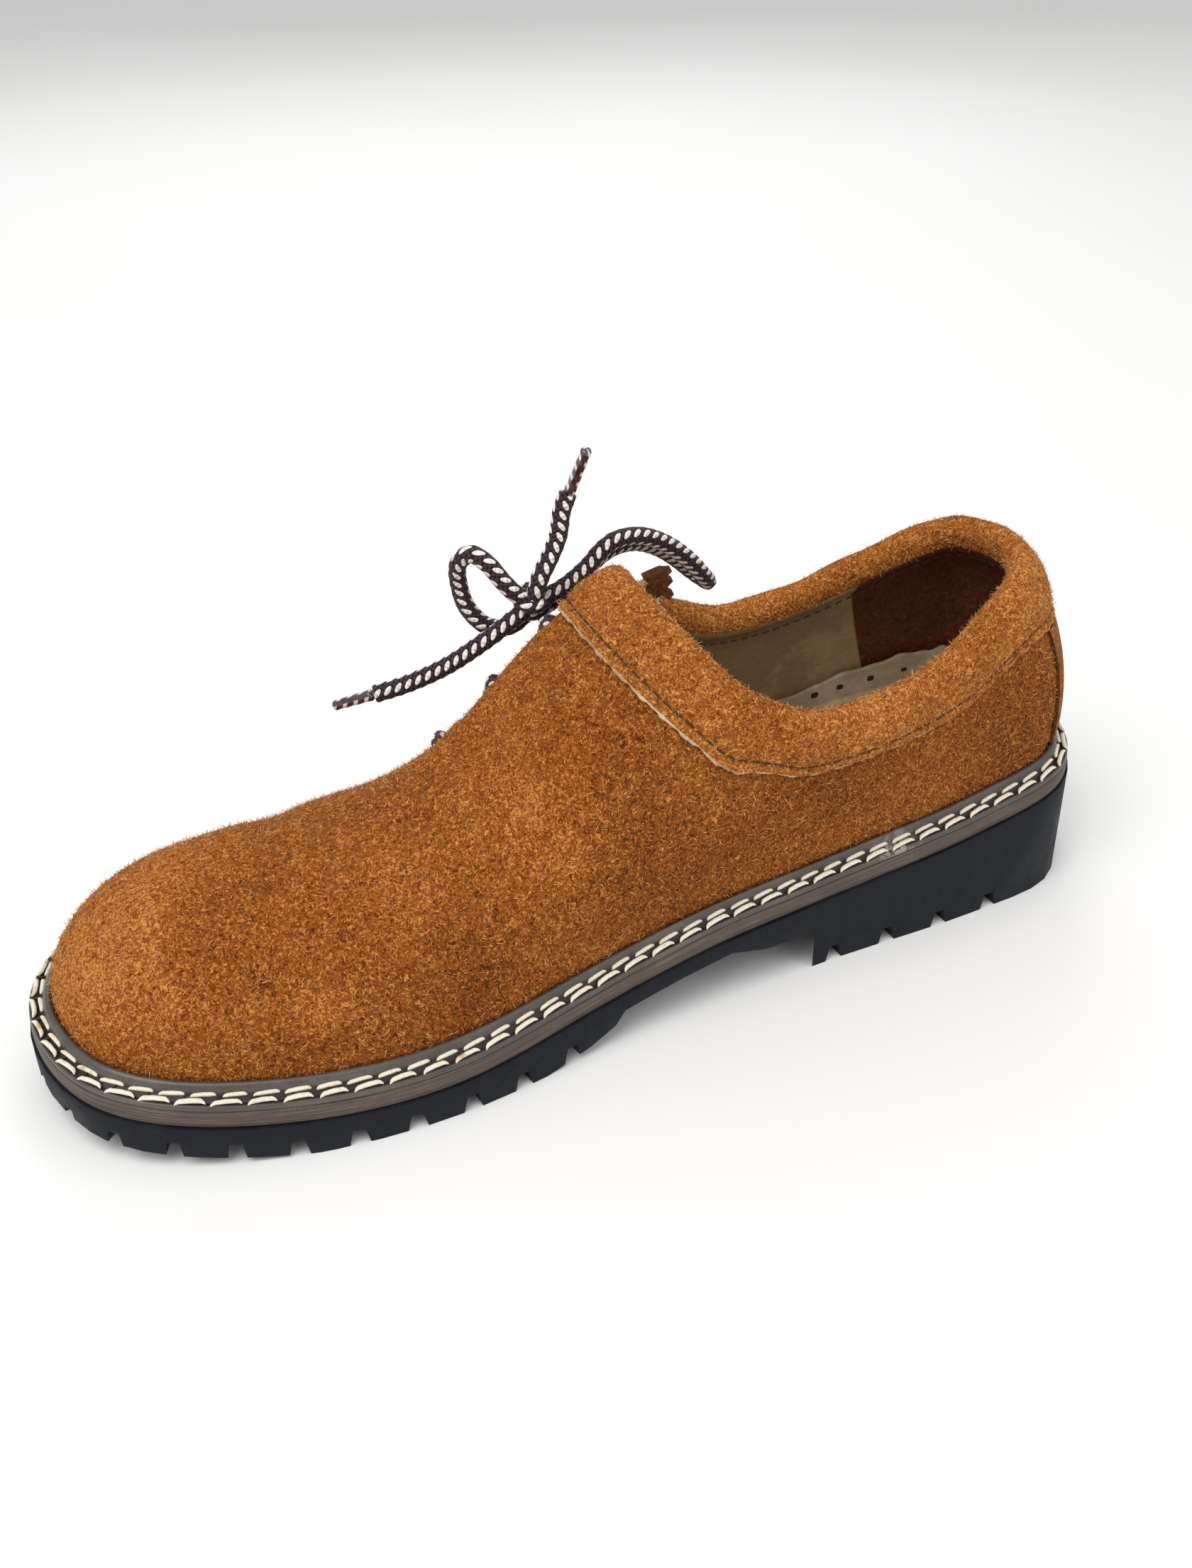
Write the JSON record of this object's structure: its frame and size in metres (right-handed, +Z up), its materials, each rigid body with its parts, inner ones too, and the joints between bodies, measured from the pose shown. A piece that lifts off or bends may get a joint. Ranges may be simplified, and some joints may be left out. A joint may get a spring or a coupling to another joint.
{
  "type": "shoe",
  "caption": "Low suede lace shoe for the right foot with a padded collar, side lacing, a stitched welt and a lugged rubber sole, unbent and standing.",
  "frame": {"origin": "on the floor under the middle of the sole", "axes": "+X to the toe, +Y to the inner side of the foot, +Z up"},
  "size_m": [0.3016, 0.1109, 0.1392],
  "materials": {
    "outsole_rubber": "matt blue-black moulded rubber, slightly dusty",
    "midsole_rubber": "taupe-brown side band with a fine level grain",
    "welt_rubber": "dark taupe moulded strip, satin gloss",
    "insole_leather": "beige smooth leather",
    "upper_suede": "rust-brown suede with a short nap",
    "collar_suede": "rust-brown suede, padded",
    "backstay_suede": "rust-brown suede",
    "tongue_suede": "lighter brown suede, pinked edge",
    "lace_braid": "dark maroon-brown round braid with white flecks",
    "aglet_film": "clear film over the braid"
  },
  "bodies": {
    "root": {"outsole": "outsole_rubber", "midsole": "midsole_rubber", "welt": "welt_rubber", "insole": "insole_leather", "upper": "upper_suede", "collar": "collar_suede", "backstay": "backstay_suede", "tongue": "tongue_suede", "lace_bar_high": "lace_braid", "lace_bar_mid": "lace_braid", "lace_bar_low": "lace_braid", "lace_knot": "lace_braid", "lace_loop_front": "lace_braid", "lace_loop_rear": "lace_braid", "lace_end_low": "lace_braid", "lace_end_up": "lace_braid", "aglet_low": "aglet_film", "aglet_up": "aglet_film"}
  },
  "joints": []
}
